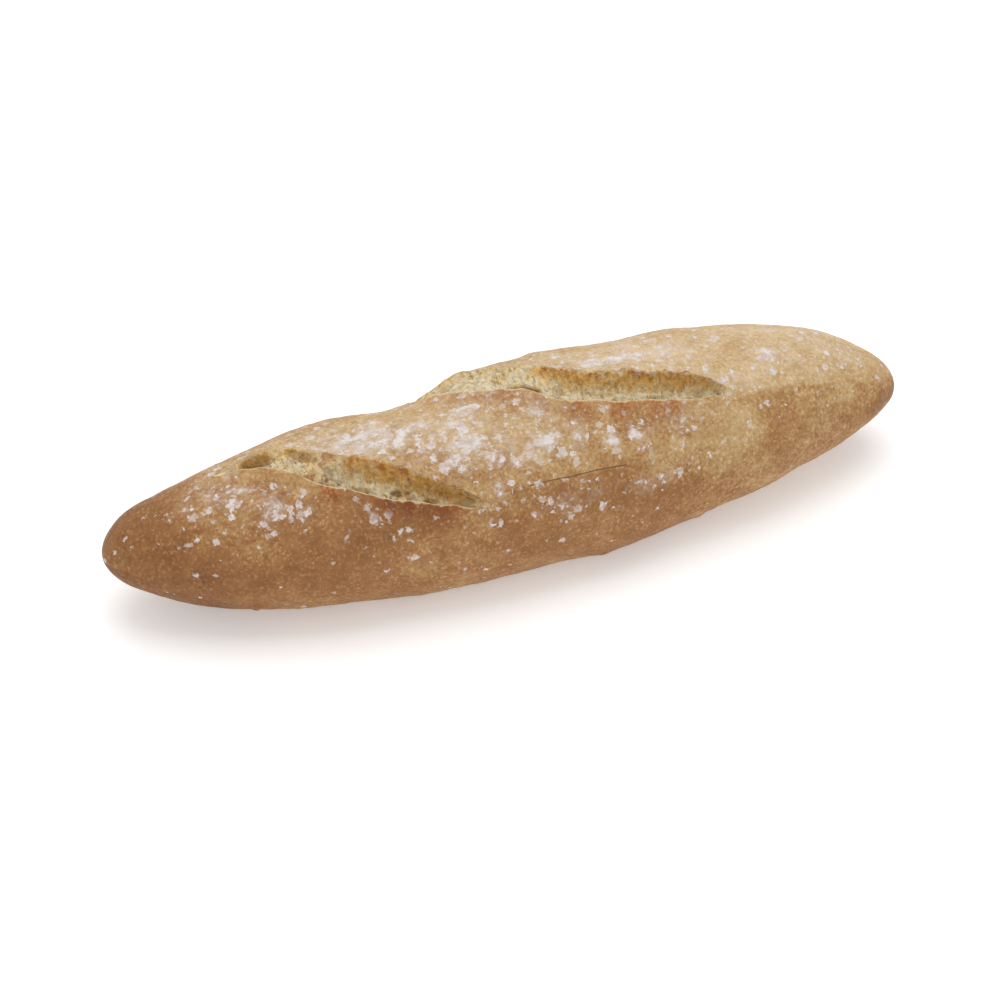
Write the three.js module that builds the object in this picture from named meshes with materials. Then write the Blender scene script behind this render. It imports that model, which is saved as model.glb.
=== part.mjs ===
// A rustic demi baguette: one spindle-shaped loaf that rests on a flat foot. Two long slanting cuts on its
// top have opened in the oven. Each has a curled lip on its near side, a sloping wall of torn crumb on its
// far side and a rough floor between them, with a strand of dough left across it.
// Units are millimetres. X runs along the loaf, -Y is the near side and +Z is up. The origin is on the
// tray, under the middle of the loaf.
import * as THREE from "three";

// The loaf as it was shaped
const LENGTH = 260;
const WIDTH = 73;
const HEIGHT = 52;
const BELLY_LEVEL = 0.4 * HEIGHT; // the height at which the loaf is widest
const UNDERSIDE = 0.55 * HEIGHT; // how far below the belly the round underside would reach without the tray
const FOOT_BLEND = 2.5; // the height over which the underside rounds into the flat foot
const FULLER_END = 0.04; // the share by which the +X end is fuller than the middle
const TIP_SWAY = 8; // how far each tip swings sideways, the two in opposite directions
const SLENDER = { from: 2, to: 14 }; // swells fade out where the section's half width falls between these

// The broad swells and hollows of the hand-shaped loaf. Each has its middle at x and at a turn in degrees,
// where turn 0 is the top and 90 the near side, and it reaches this far towards the two tips and around.
const FORM = [
  // The skin between the two cuts didn't stretch, so there is a waist on the far side that ends sharply
  // where the second cut begins.
  { x: -24, turn: -48, toMinus: 23, toPlus: 5, around: 36, height: -4.4 },
  { x: 10, turn: -50, toMinus: 90, toPlus: 42, around: 34, height: -1.9 },
  { x: 27, turn: 122, toMinus: 16, toPlus: 17, around: 36, height: 2.2 },
  { x: -122, turn: -25, toMinus: 12, toPlus: 14, around: 60, height: 0.8 },
  { x: 110, turn: -20, toMinus: 24, toPlus: 20, around: 60, height: 0.4 },
  { x: 108, turn: 125, toMinus: 20, toPlus: 20, around: 45, height: -1.2 },
  { x: -38, turn: -48, toMinus: 8, toPlus: 7, around: 30, height: -1.4 },
  { x: 44, turn: -48, toMinus: 16, toPlus: 13, around: 30, height: -1 },
  { x: -86, turn: -48, toMinus: 16, toPlus: 14, around: 28, height: -0.9 },
];

// The slow waves of the crust along and around the loaf
const WAVES = [
  { alongMm: 83, around: 1, phase: 0.6, height: 0.25 },
  { alongMm: 47, around: 2, phase: 2.1, height: 0.2 },
  { alongMm: 29, around: 3, phase: 4.4, height: 0.15 },
];

// A cut runs between two edges, each a line through knots of [x, turn in degrees]. Strands and hollows have
// their place as x and as the share of the way from the far edge to the near one. Up to the x of `shallow`
// a cut opened to only that share of its depth, and a slant moves this x, and a strand, across the cut.
const FIRST_CUT = {
  far: [[-94, -14], [-87, -15], [-80, -19], [-74, -14], [-66, -2], [-58, 9], [-45, 24], [-31, 42], [-20, 58]],
  near: [
    [-94, -10], [-88, -3], [-78, 9], [-72, 19], [-66, 30], [-59, 36], [-50, 45], [-38, 53], [-28, 59], [-20, 62],
  ],
  depth: 5.2,
  shallow: { x: -64.5, slant: -12, share: 0.3 },
  lip: 1.9,
  curl: 1.5,
  brow: 0.4,
  strands: [{ x: -66, slant: -12, width: 2.7, rise: 0.9 }],
  hollows: [
    { x: -80.5, across: 0.24, reach: 5.4, depth: 2.4 },
    { x: -68, across: 0.17, reach: 4.8, depth: 2 },
    { x: -55, across: 0.7, reach: 3.2, depth: 1.3 },
    { x: -44, across: 0.6, reach: 3, depth: 1.2 },
  ],
};
const SECOND_CUT = {
  far: [
    [-32, -34], [-26, -42], [-19, -48], [-12, -44], [-5, -30], [2, -19], [9, -14], [15, -6], [23, 1], [40, 9],
    [55, 17], [61, 23], [66, 34],
  ],
  near: [
    [-32, -30], [-26, -15], [-19, -6], [-8, 2], [3, 9], [8, 17], [14, 21], [22, 24], [33, 30], [46, 34],
    [66, 38],
  ],
  depth: 5.4,
  shallow: { x: 5, slant: -7, share: 0.5 },
  lip: 1.7,
  curl: 1.4,
  brow: 0.5,
  strands: [
    { x: -14, slant: 0, width: 15, rise: 0.25 },
    { x: 9, slant: -7, width: 3, rise: 0.4 },
  ],
  hollows: [
    { x: 4.5, across: 0.55, reach: 3.6, depth: 2 },
    { x: -16, across: 0.3, reach: 3.2, depth: 1.2 },
    { x: 28, across: 0.7, reach: 3.2, depth: 1.2 },
    { x: 43, across: 0.6, reach: 3, depth: 1.1 },
  ],
};

// The torn crumb's ridges, as waves along x and across the cut
const TORN = [
  { xMm: 8.9, acrossMm: 9.1, phase: 0.3, height: 0.42 },
  { xMm: 13.8, acrossMm: 5.6, phase: 2.6, height: 0.35 },
];

// The shares of the way from a cut's far edge to its near edge at which the mesh has a row
const CUT_ROWS = [0, 0.07, 0.17, 0.3, 0.45, 0.6, 0.75, 0.88, 0.965, 1];
const WALL_SHARE = 0.42; // the far wall slopes down over this share of the opening
const BROW_SHARE = 0.1; // the raised brow of the far edge reaches this share into the opening
const LIP_SHARE = 0.14; // the near wall rises to the lip over this share
const LIP_CREST = 0.07; // the raised crest of the lip reaches this share into the opening
const LIP_CURL = 0.03; // only this share of the opening curls over with the crest
const UNDERCUT = { across: 0.9, reach: 0.06, share: 0.5 }; // the crumb torn away under the lip
const HOLLOW_NARROWNESS = 0.5; // a hollow's reach across the cut as a share of its reach along it
const DEEPENING = 6; // a cut's shallow part deepens to its full depth over this length
const FLANK = 2.6; // the raised skin outside an edge falls away over about this distance
const TIP_FADE = 9; // a cut grows to its full depth over this length from each end
// Beyond its ends a cut only leads the rows of the mesh: its edges part by this many degrees each way, over
// this length, and the second cut's rows keep this many degrees away from the first cut.
const PARTING = { turn: 6, length: 24, clearance: 12 };
const FAR_ROWS = 13;
const BETWEEN_ROWS = 8;
const NEAR_ROWS = 13;
const CROWDING = 1.3; // above 1 the rows outside the cuts stand closer together near a cut's edge
const STATIONS = 100;
const TIP_CROWDING = 0.1; // the smaller it is, the more evenly the stations are spaced up to the tips

const fade = (t) => THREE.MathUtils.smoothstep(t, 0, 1);
const bell = (t) => Math.exp(-t * t);

// A smooth line through knots of [x, value].
function lineThrough(knots) {
  const xs = knots.map((knot) => knot[0]);
  const values = knots.map((knot) => knot[1]);
  const line = new THREE.CubicInterpolant(xs, values, 1);
  return (x) => line.evaluate(x)[0];
}

// A cut with its two ends and with its edges as functions of x, in radians.
function openCut(cut) {
  const far = lineThrough(cut.far);
  const near = lineThrough(cut.near);
  const from = cut.far[0][0];
  const to = cut.far.at(-1)[0];
  const parting = (x) => PARTING.turn * fade(Math.max(from - x, x - to) / PARTING.length);
  return {
    ...cut,
    from,
    to,
    farTurn: (x) => THREE.MathUtils.degToRad(far(x) - parting(x)),
    nearTurn: (x) => THREE.MathUtils.degToRad(near(x) + parting(x)),
  };
}

// How open a cut is at x: 0 outside it, 1 away from its two ends.
function openness(cut, x) {
  return fade((x - cut.from) / TIP_FADE) * fade((cut.to - x) / TIP_FADE);
}

// How much a strand of dough across the cut fills it, at x and a share of the way across.
function strandFill(cut, x, across) {
  let fill = 0;
  for (const strand of cut.strands) {
    const middle = strand.x + strand.slant * (across - 0.5);
    fill += strand.rise * bell((x - middle) / strand.width);
  }
  return fill;
}

// How deep the floor of a cut is without its strands and hollows.
function floorDepth(cut, x, across) {
  const start = cut.shallow.x + cut.shallow.slant * (across - 0.5);
  return cut.depth * THREE.MathUtils.lerp(cut.shallow.share, 1, fade((x - start) / DEEPENING));
}

// How far the large hollows in the crumb go below the floor there.
function hollowDepth(cut, x, across, openingMm) {
  let depth = 0;
  for (const hollow of cut.hollows) {
    const alongReach = (x - hollow.x) / hollow.reach;
    const acrossReach = ((across - hollow.across) * openingMm) / (HOLLOW_NARROWNESS * hollow.reach);
    depth += hollow.depth * bell(Math.hypot(alongReach, acrossReach));
  }
  return depth;
}

// The ridges of the torn crumb.
function tornHeight(x, acrossMm) {
  let height = 0;
  for (const wave of TORN) {
    const angle = 2 * Math.PI * (x / wave.xMm + acrossMm / wave.acrossMm) + wave.phase;
    height += wave.height * Math.sin(angle);
  }
  return height;
}

// How far a cut moves the crust: `out` of the loaf, and `over` from the near side towards the far side.
function cutRelief(cut, x, turn, radius) {
  const open = openness(cut, x);
  if (open === 0) return { out: 0, over: 0 };
  const farTurn = cut.farTurn(x);
  const opening = cut.nearTurn(x) - farTurn;
  const openingMm = opening * radius;
  const across = (turn - farTurn) / opening;
  if (across < 0) {
    return { out: open * cut.brow * bell((across * openingMm) / FLANK), over: 0 };
  }
  if (across > 1) {
    const flank = bell(((across - 1) * openingMm) / FLANK);
    return { out: open * cut.lip * flank, over: open * cut.curl * flank * flank };
  }
  const inside = fade(across / WALL_SHARE) * fade((1 - across) / LIP_SHARE);
  const lip = cut.lip * bell((1 - across) / LIP_CREST);
  const brow = cut.brow * bell(across / BROW_SHARE);
  const filled = floorDepth(cut, x, across) * (1 - strandFill(cut, x, across));
  const floor = filled + hollowDepth(cut, x, across, openingMm);
  const rough = tornHeight(x, across * openingMm);
  const undercut = UNDERCUT.share * bell((across - UNDERCUT.across) / UNDERCUT.reach);
  return {
    out: open * (lip + brow - inside * (floor - rough)),
    over: open * cut.curl * (bell((1 - across) / LIP_CURL) - undercut),
  };
}

// How far the broad swells and hollows and the slow waves move the crust outwards.
function formHeight(x, turn) {
  let height = 0;
  for (const swell of FORM) {
    const along = (x - swell.x) / (x < swell.x ? swell.toMinus : swell.toPlus);
    const apart = THREE.MathUtils.radToDeg(turn) - swell.turn;
    const around = THREE.MathUtils.euclideanModulo(apart + 180, 360) - 180;
    height += swell.height * bell(Math.hypot(along, around / swell.around));
  }
  for (const wave of WAVES) {
    height += wave.height * Math.sin((2 * Math.PI * x) / wave.alongMm + wave.around * turn + wave.phase);
  }
  return height;
}

// The tray stops the underside: a height above FOOT_BLEND stays, and one below -FOOT_BLEND becomes 0.
function onTray(z) {
  if (z >= FOOT_BLEND) return z;
  if (z <= -FOOT_BLEND) return 0;
  return (z + FOOT_BLEND) ** 2 / (4 * FOOT_BLEND);
}

// The half sizes of the section at x, which is an ellipse above the belly and a deeper one below it.
function sectionAt(x) {
  const u = THREE.MathUtils.clamp((2 * x) / LENGTH, -1, 1);
  const round = Math.sqrt(1 - u * u);
  const fuller = 1 + FULLER_END * u;
  return {
    sway: -TIP_SWAY * u ** 3,
    halfWidth: (WIDTH / 2) * round * fuller,
    rise: (HEIGHT - BELLY_LEVEL) * round * fuller,
    drop: UNDERSIDE * round,
  };
}

// A point of the loaf's section at x: the outward direction is that of the section's own ellipse.
function loafPoint(x, turn, cuts) {
  const { sway, halfWidth, rise, drop } = sectionAt(x);
  const sideways = -Math.sin(turn);
  const upward = Math.cos(turn);
  const tall = upward > 0 ? rise : drop;
  const outward = new THREE.Vector2(sideways * tall, upward * halfWidth).normalize();
  const over = new THREE.Vector2(outward.y, -outward.x);
  const radius = Math.hypot(halfWidth * Math.cos(turn), tall * Math.sin(turn));
  let out = THREE.MathUtils.smoothstep(halfWidth, SLENDER.from, SLENDER.to) * formHeight(x, turn);
  let shift = 0;
  for (const cut of cuts) {
    const relief = cutRelief(cut, x, turn, radius);
    out += relief.out;
    shift += relief.over;
  }
  return new THREE.Vector3(
    x,
    sway + halfWidth * sideways + outward.x * out + over.x * shift,
    onTray(BELLY_LEVEL + tall * upward + outward.y * out + over.y * shift),
  );
}

// Where the stations stand along the loaf, from the +X tip to the -X tip, crowded towards both tips.
function stationX(index) {
  const v = 1 - (2 * index) / STATIONS;
  const fromTip = 1 - Math.abs(v);
  const crowded = (fromTip ** 2 * (1 + TIP_CROWDING)) / (fromTip + TIP_CROWDING);
  return (Math.sign(v) * (1 - crowded) * LENGTH) / 2;
}

// Rows from one turn up to another, which isn't among them itself.
function spreadRows(from, to, count, crowd) {
  return Array.from({ length: count }, (_, i) => THREE.MathUtils.lerp(from, to, crowd(i / count)));
}

// All the turns at which the mesh has a row at x, from the bottom over the far side, the top and the near
// side to the bottom again.
function rowTurns(x, first, second) {
  const firstFar = first.farTurn(x);
  const firstNear = first.nearTurn(x);
  const clearOfFirst = firstFar - THREE.MathUtils.degToRad(PARTING.clearance);
  const secondNear = Math.min(second.nearTurn(x), clearOfFirst);
  const secondFar = Math.min(second.farTurn(x), secondNear - (second.nearTurn(x) - second.farTurn(x)));
  const sharesOf = (far, near) => CUT_ROWS.map((share) => THREE.MathUtils.lerp(far, near, share));
  return [
    ...spreadRows(-Math.PI, secondFar, FAR_ROWS, (t) => 1 - (1 - t) ** CROWDING),
    ...sharesOf(secondFar, secondNear),
    ...spreadRows(secondNear, firstFar, BETWEEN_ROWS, fade).slice(1),
    ...sharesOf(firstFar, firstNear),
    ...spreadRows(firstNear, Math.PI, NEAR_ROWS, (t) => t ** CROWDING).slice(1),
    Math.PI,
  ];
}

// The loaf is a sphere whose poles are the tips, with each ring moved to its station along the loaf.
function loafGeometry() {
  const cuts = [openCut(FIRST_CUT), openCut(SECOND_CUT)];
  const rowCount = rowTurns(0, ...cuts).length;
  const geometry = new THREE.SphereGeometry(1, rowCount - 1, STATIONS);
  const position = geometry.getAttribute("position");
  for (let station = 0; station <= STATIONS; station++) {
    const x = stationX(station);
    const turns = rowTurns(x, ...cuts);
    turns.forEach((turn, row) => {
      const point = loafPoint(x, turn, cuts);
      position.setXYZ(station * rowCount + row, point.x, point.y, point.z);
    });
  }
  geometry.computeVertexNormals();
  return geometry;
}

// Moves a geometry so that its foot is at height 0 and its middle over the origin.
function standOnOrigin(geometry) {
  geometry.computeBoundingBox();
  const { min, max } = geometry.boundingBox;
  geometry.translate(-(min.x + max.x) / 2, -(min.y + max.y) / 2, -min.z);
  return geometry;
}

const crust = new THREE.MeshStandardMaterial({ color: 0xb5895a, roughness: 0.82, metalness: 0 });
const loaf = new THREE.Mesh(standOnOrigin(loafGeometry()), crust);
loaf.name = "loaf";

const baguette = new THREE.Group();
baguette.add(loaf);

export default baguette;
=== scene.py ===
"""Dresses the rustic demi baguette: its floury crust, and its two cuts with their lips and torn crumb.

The frame is in metres, with X along the loaf, -Y on its near side and +Z up. The loaf itself is worked
out in millimetres. A place on it is given by x and by a turn in degrees around the loaf, where 0 is the
top, 90 the near side and -90 the far side.
"""

import functools
import logging
import math
import random
from dataclasses import dataclass, field
from enum import Enum
from typing import Any

import bmesh
import bpy
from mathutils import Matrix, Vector, noise


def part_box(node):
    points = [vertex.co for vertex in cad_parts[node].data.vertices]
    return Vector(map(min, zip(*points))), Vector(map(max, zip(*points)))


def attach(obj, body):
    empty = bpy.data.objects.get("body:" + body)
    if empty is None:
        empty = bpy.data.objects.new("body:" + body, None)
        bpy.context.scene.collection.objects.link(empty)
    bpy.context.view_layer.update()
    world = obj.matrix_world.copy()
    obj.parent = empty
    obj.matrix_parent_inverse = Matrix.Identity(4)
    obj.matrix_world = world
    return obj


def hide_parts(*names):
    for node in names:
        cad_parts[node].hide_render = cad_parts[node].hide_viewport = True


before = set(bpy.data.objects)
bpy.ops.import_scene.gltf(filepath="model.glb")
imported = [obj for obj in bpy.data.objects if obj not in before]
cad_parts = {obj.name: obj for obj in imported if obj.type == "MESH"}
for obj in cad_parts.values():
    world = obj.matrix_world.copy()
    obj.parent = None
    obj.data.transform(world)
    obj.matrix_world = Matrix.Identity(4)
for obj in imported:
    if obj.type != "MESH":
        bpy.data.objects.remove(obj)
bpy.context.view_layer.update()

log = logging.getLogger("baguette")

MM = 0.001
FAR_AWAY = 20.0  # the largest distance from a line that the material is told, in mm
DEEP_OUTSIDE = -30.0  # the least that it is told of how far inside a cut a place is
FULLEST = 0.95  # how much of a cut's depth a strand can fill

Colour = tuple[float, float, float, float]  # linear red, green and blue, and a 1 for solid
Waves = tuple[tuple[float, float, float], ...]  # the height, the length and the seed of each wave


def fade(t: float) -> float:
    """Returns 0 below 0, 1 above 1 and a smooth rise between."""
    t = min(max(t, 0.0), 1.0)
    return t * t * (3.0 - 2.0 * t)


def bell(t: float) -> float:
    """Returns 1 at 0, falling to a third at 1 either way."""
    return math.exp(-t * t)


def lerp(a: float, b: float, t: float) -> float:
    """Returns the number a share t of the way from a to b."""
    return a + (b - a) * t


def wander(x: float, length: float, seed: float) -> float:
    """Returns a smooth random number from -1 to 1 that changes over this length of x."""
    return noise.noise(Vector((x / length, seed, 0.37)))


def waver(x: float, seed: float, waves: Waves) -> float:
    """Returns a sum of random waves at x, each given by its height, its length and its own seed."""
    return sum(height * wander(x, length, seed + own) for height, length, own in waves)


def srgb(red: int, green: int, blue: int) -> Colour:
    """Turns a colour as a screen shows it, 0 to 255, into the linear colour that a shader takes."""
    return tuple(((c / 255 + 0.055) / 1.055) ** 2.4 for c in (red, green, blue)) + (1.0,)


class Trait(Enum):
    """What the loaf's mesh tells its material at each point."""

    INSIDE = "inside_mm"  # how far inside a cut's opening, negative on the crust
    RIM_HIGHLIGHT = "rim_highlight_mm"  # how far from the painted highlight along the rim of a near lip
    RED = "red"  # how much painted shade darkens and reddens the crust under a lip, 0 to 1
    PORE_SHADE = "pore_shade"  # how much painted shade darkens the crumb in its pores and hollows, 0 to 1
    TOAST = "toast"  # how browned the crust or the crumb is drawn, 0 to 1, partly painted shade on the crust's sides and below its crease
    FLOUR = "flour"  # how thickly floured, 0 to 1
    CREASE = "crease_mm"  # how far from the fine crack or from the seam


@dataclass(frozen=True)
class Line:
    """A smooth line through knots of x in mm and a turn in degrees, level beyond its two ends."""

    knots: tuple[tuple[float, float], ...]

    def at(self, x: float) -> float:
        """Works out the turn at x.

        Args:
            x: the place along the loaf, in mm.

        Returns:
            The turn in degrees.
        """
        knots = self.knots
        if x <= knots[0][0]:
            return knots[0][1]
        if x >= knots[-1][0]:
            return knots[-1][1]
        i = next(i for i in range(1, len(knots)) if x <= knots[i][0])
        (x0, y0), (x1, y1) = knots[i - 1], knots[i]
        slope = (y1 - y0) / (x1 - x0)
        before = after = slope
        if i > 1:
            before = (slope + (y0 - knots[i - 2][1]) / (x0 - knots[i - 2][0])) / 2
        if i < len(knots) - 1:
            after = (slope + (knots[i + 1][1] - y1) / (knots[i + 1][0] - x1)) / 2
        t, step = (x - x0) / (x1 - x0), x1 - x0
        return (
            y0 * (1 + 2 * t) * (1 - t) ** 2
            + y1 * t * t * (3 - 2 * t)
            + step * (before * t * (1 - t) ** 2 - after * t * t * (1 - t))
        )

    def apart(self, x: float, turn: float, radius: float) -> float:
        """Returns how far a place lies from the line or from its nearer end, in mm."""
        beyond = max(self.knots[0][0] - x, x - self.knots[-1][0], 0.0)
        return min(abs(math.radians(turn - self.at(x))) * radius + beyond, FAR_AWAY)


@dataclass(frozen=True)
class Reach:
    """A stretch of x, of turns or of distances that fades in at its low end and out at its high end."""

    low: float = -math.inf
    high: float = math.inf
    fade_in: float = 1.0
    fade_out: float = 1.0

    def share(self, value: float) -> float:
        """Returns 0 outside the stretch and 1 well inside it."""
        return fade((value - self.low) / self.fade_in) * fade((self.high - value) / self.fade_out)


@dataclass(frozen=True)
class Swell:
    """A broad swell or hollow of the hand-shaped loaf, in mm and degrees."""

    x: float
    turn: float
    to_minus: float
    to_plus: float
    around: float
    height: float

    def lift(self, x: float, turn: float) -> float:
        """Returns how far it moves the crust outwards at a place, in mm."""
        along = (x - self.x) / (self.to_minus if x < self.x else self.to_plus)
        apart = (turn - self.turn + 180.0) % 360.0 - 180.0
        return self.height * bell(math.hypot(along, apart / self.around))


@dataclass(frozen=True)
class Wave:
    """A slow wave that winds along the loaf, with its height and length in mm."""

    height: float
    length: float
    lobes: int
    phase: float

    def lift(self, x: float, turn: float) -> float:
        """Returns how far it moves the crust outwards at a place, in mm."""
        return self.height * math.sin(
            2 * math.pi * x / self.length + self.lobes * math.radians(turn) + self.phase
        )


@dataclass(frozen=True)
class Strand:
    """A strand of dough left across a cut."""

    x: float
    slant: float
    width: float
    rise: float

    def fill(self, x: float, across: float) -> float:
        """Returns how much it fills the cut, 0 to 1."""
        middle = self.x + self.slant * (across - 0.5)
        return self.rise * bell((x - middle) / self.width)


@dataclass(frozen=True)
class Hollow:
    """A large air pocket torn open in the crumb, as long as its reach and narrower across the cut."""

    x: float
    across: float
    reach: float
    depth: float
    narrow: float = 0.6
    # how browned it is, which also sets the painted shade on its floor
    toast: float = 0.3
    steep: float = 1.8
    shrink: float = 0.35

    def sink(self, x: float, across: float, opening: float) -> float:
        """Returns how much of its full depth it has at a place, 0 to 1."""
        along = (x - self.x) / self.reach
        aside = (across - self.across) * opening / (self.narrow * self.reach)
        return fade(self.steep * bell(math.hypot(along, aside)) - self.shrink)


@dataclass(frozen=True)
class Spot:
    """A place as one cut sees it."""

    x: float
    across: float  # the share of the way from the far edge to the near lip
    opening: float  # how wide the cut is there, in mm
    open: float  # 0 beyond the cut's ends, 1 away from them
    inside: float  # how far inside the cut's outline the place is, in mm


@dataclass(frozen=True)
class Browning:
    """How the crumb of a cut browned, as amounts of toast and shares of the way across."""

    shallow: float
    wall: float
    wall_reach: float  # how far across the browned wall reaches at the right end
    wall_start: float = 0.46  # and at the left end
    wall_fade: float = 0.36
    edge_shallow: float = 0.1
    edge_deep: float = 0.42
    edge_reach: float = 0.16
    floor: float = 0.05
    hollow: float = 0.5
    strand: float = 0.3
    quick: float = 1.3  # how much sooner than at the right end the wall has its full reach


@dataclass(frozen=True)
class LipShade:
    """How much painted shade darkens and reddens the crust just under a lip, from 0 to 1, with lengths in
    mm.
    """

    spots: tuple[tuple[float, float], ...]  # the x and the reach of its darkest, reddest stretches
    least: float = 0.15
    in_spots: float = 0.9
    in_shallow: float = 0.3
    deep: float = 2.2
    deep_wander: float = 2.4
    wander_length: float = 3.8
    deep_least: float = 0.5
    deeper_in_spots: float = 1.2
    own_seed: float = 15.0


@dataclass(frozen=True)
class Cut:
    """A slanting cut that opened in the oven: a curled near lip, torn crumb and a browned far edge.

    Lengths are in mm, turns in degrees, and a share across is 0 at the far edge and 1 at the near lip.
    """

    seed: float
    far: Line
    near: Line
    depth: float
    lip: float  # how high the near lip stands
    curl: float  # how far the lip leans over the cut
    brow: float  # how high the far edge stands
    deep_from: float  # the x from which it opened fully
    deep_slant: float  # how much further along that is at the lip than at the far edge
    shallow: float  # the share of the depth that the rest of it has
    browning: Browning
    shade_under_lip: LipShade
    strands: tuple[Strand, ...]
    hollows: tuple[Hollow, ...]
    deep_fade: float = 6.0
    ragged: float = 2.0  # how far the edges wander, in degrees
    far_waves: Waves = ((1.0, 5.1, 0), (0.45, 1.8, 3))
    near_waves: Waves = ((0.6, 6.3, 7), (0.2, 2.3, 9))
    lip_waves: Waves = ((0.3, 7.0, 5), (0.35, 2.6, 6))
    end_fade: float = 9.0
    wall_share: float = 0.4  # the shares across that the wall and the lip's inner side take
    lip_share: float = 0.12
    crest_share: float = 0.07  # and the raised rims of the near and of the far edge
    brow_share: float = 0.1
    torn_shares: tuple[float, float] = (0.06, 0.1)  # how far from either edge the crumb is smooth
    curl_share: float = 0.03
    groove: float = 0.5  # how far the crumb is drawn back under the curl, as a share of it
    groove_at: float = 0.1
    groove_share: float = 0.06
    flank: float = 2.6  # how far the raised crust beside either edge reaches
    parting: float = 6.0  # how far the lines of its edges part beyond its ends
    parting_reach: float = 24.0
    crusted_fill: float = 0.4  # how far a strand has to fill the cut to carry crust
    crusted_width: float = 14.0
    frayed_start: float = 14.0  # how far from either end the outline is frayed
    frayed_end: float = 20.0
    fray: float = 1.9
    fray_reach: float = 4.0
    fray_back: float = 0.4
    fray_grain: tuple[float, float] = (1.7, 3.0)  # in mm along and in degrees around
    fray_finer: tuple[float, float] = (0.5, 2.3)  # a finer fray's height, and how much finer it is
    rim_highlight_gap: float = 1.2  # how far its ends count as being from the painted highlight along the rim

    @property
    def start(self) -> float:
        """Returns the x at which it begins."""
        return self.far.knots[0][0]

    @property
    def end(self) -> float:
        """Returns the x at which it ends."""
        return self.far.knots[-1][0]

    def openness(self, x: float) -> float:
        """Returns 0 outside the cut and 1 away from its two ends."""
        return Reach(self.start, self.end, self.end_fade, self.end_fade).share(x)

    def filled(self, x: float, across: float) -> float:
        """Returns how far the strands fill the cut at a place, 0 to 1."""
        return sum(strand.fill(x, across) for strand in self.strands)

    @functools.lru_cache(maxsize=4096)
    def edges(self, x: float) -> tuple[float, float]:
        """Works out where the cut's two edges run.

        Args:
            x: the place along the loaf, in mm.

        Returns:
            The turns of the far edge and of the near lip, in degrees.
        """
        apart = self.parting * fade(max(self.start - x, x - self.end) / self.parting_reach)
        rough = self.ragged * self.openness(x)
        far = self.far.at(x) - apart + rough * waver(x, self.seed, self.far_waves)
        near = self.near.at(x) + apart + rough * waver(x, self.seed, self.near_waves)
        return far, near

    def spot(self, x: float, turn: float, radius: float) -> Spot:
        """Finds where a place of the loaf lies as seen by this cut.

        Args:
            x: the place along the loaf, in mm.
            turn: its turn in degrees.
            radius: the loaf's radius there, in mm.

        Returns:
            The place in the cut's own terms. Crusted strands and frayed ends count as outside.
        """
        far, near = self.edges(x)
        opening = math.radians(near - far) * radius
        across = (turn - far) / (near - far)
        inside = min(across * opening, (1 - across) * opening, x - self.start, self.end - x)
        fill = self.filled(x, across) if inside > 0 else 0.0
        if fill > self.crusted_fill:
            inside -= self.crusted_width * (fill - self.crusted_fill) * self.openness(x)
        if inside > -self.fray_reach:
            frayed = 1 - Reach(self.start, self.end, self.frayed_start, self.frayed_end).share(x)
            along, around = self.fray_grain
            place = Vector((x / along, turn / around, self.seed))
            height, finer = self.fray_finer
            ragged = noise.noise(place) + height * noise.noise(place * finer)
            inside += frayed * (self.fray * ragged - self.fray_back)
        return Spot(x, across, opening, self.openness(x), inside)

    def deepness(self, x: float, across: float) -> float:
        """Returns 0 where the cut stayed shallow and pale, and 1 where it opened fully."""
        start = self.deep_from + self.deep_slant * (across - 0.5)
        return fade((x - start) / self.deep_fade)

    def relief(self, spot: Spot, rough: float) -> tuple[float, float]:
        """Works out how the cut moves the crust.

        Args:
            spot: the place as this cut sees it.
            rough: the torn crumb's own relief there, in mm.

        Returns:
            How far the place moves out of the loaf and over from its near towards its far side, in mm.
        """
        if spot.open == 0.0:
            return 0.0, 0.0
        lip = self.lip * (1 + waver(spot.x, self.seed, self.lip_waves))
        if spot.across < 0:
            return spot.open * self.brow * bell(spot.across * spot.opening / self.flank), 0.0
        to_lip = 1 - spot.across
        if to_lip < 0:
            flank = bell(to_lip * spot.opening / self.flank)
            return spot.open * lip * flank, spot.open * self.curl * flank * flank
        inside = fade(spot.across / self.wall_share) * fade(to_lip / self.lip_share)
        crest = lip * bell(to_lip / self.crest_share)
        brow = self.brow * bell(spot.across / self.brow_share)
        fill = self.filled(spot.x, spot.across)
        depth = self.depth * lerp(self.shallow, 1.0, self.deepness(spot.x, spot.across))
        floor = depth * (1 - min(fill, FULLEST))
        for hollow in self.hollows:
            floor += hollow.depth * hollow.sink(spot.x, spot.across, spot.opening)
        by_far, by_near = self.torn_shares
        torn = rough * fade(spot.across / by_far) * fade(to_lip / by_near) * (1 - min(fill, 1.0))
        over = bell(to_lip / self.curl_share)
        over -= self.groove * bell((to_lip - self.groove_at) / self.groove_share)
        return spot.open * (crest + brow - inside * floor + torn), spot.open * self.curl * over

    def crumb_toast(self, spot: Spot) -> float:
        """Returns how browned the crumb is, 0 to 1: most on the far wall, least by the near lip."""
        brown, deep = self.browning, self.deepness(spot.x, spot.across)
        along = fade(brown.quick * (spot.x - self.deep_from) / (self.end - self.deep_from))
        reach = lerp(brown.wall_start, brown.wall_reach, along)
        toast = lerp(0.5 * brown.shallow, brown.floor, deep)
        toast += lerp(brown.shallow, brown.wall, deep) * fade((reach - spot.across) / brown.wall_fade)
        toast += lerp(brown.edge_shallow, brown.edge_deep, deep) * bell(spot.across / brown.edge_reach)
        for hollow in self.hollows:
            toast += brown.hollow * hollow.toast * hollow.sink(spot.x, spot.across, spot.opening)
        return toast + brown.strand * self.filled(spot.x, spot.across)

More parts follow.
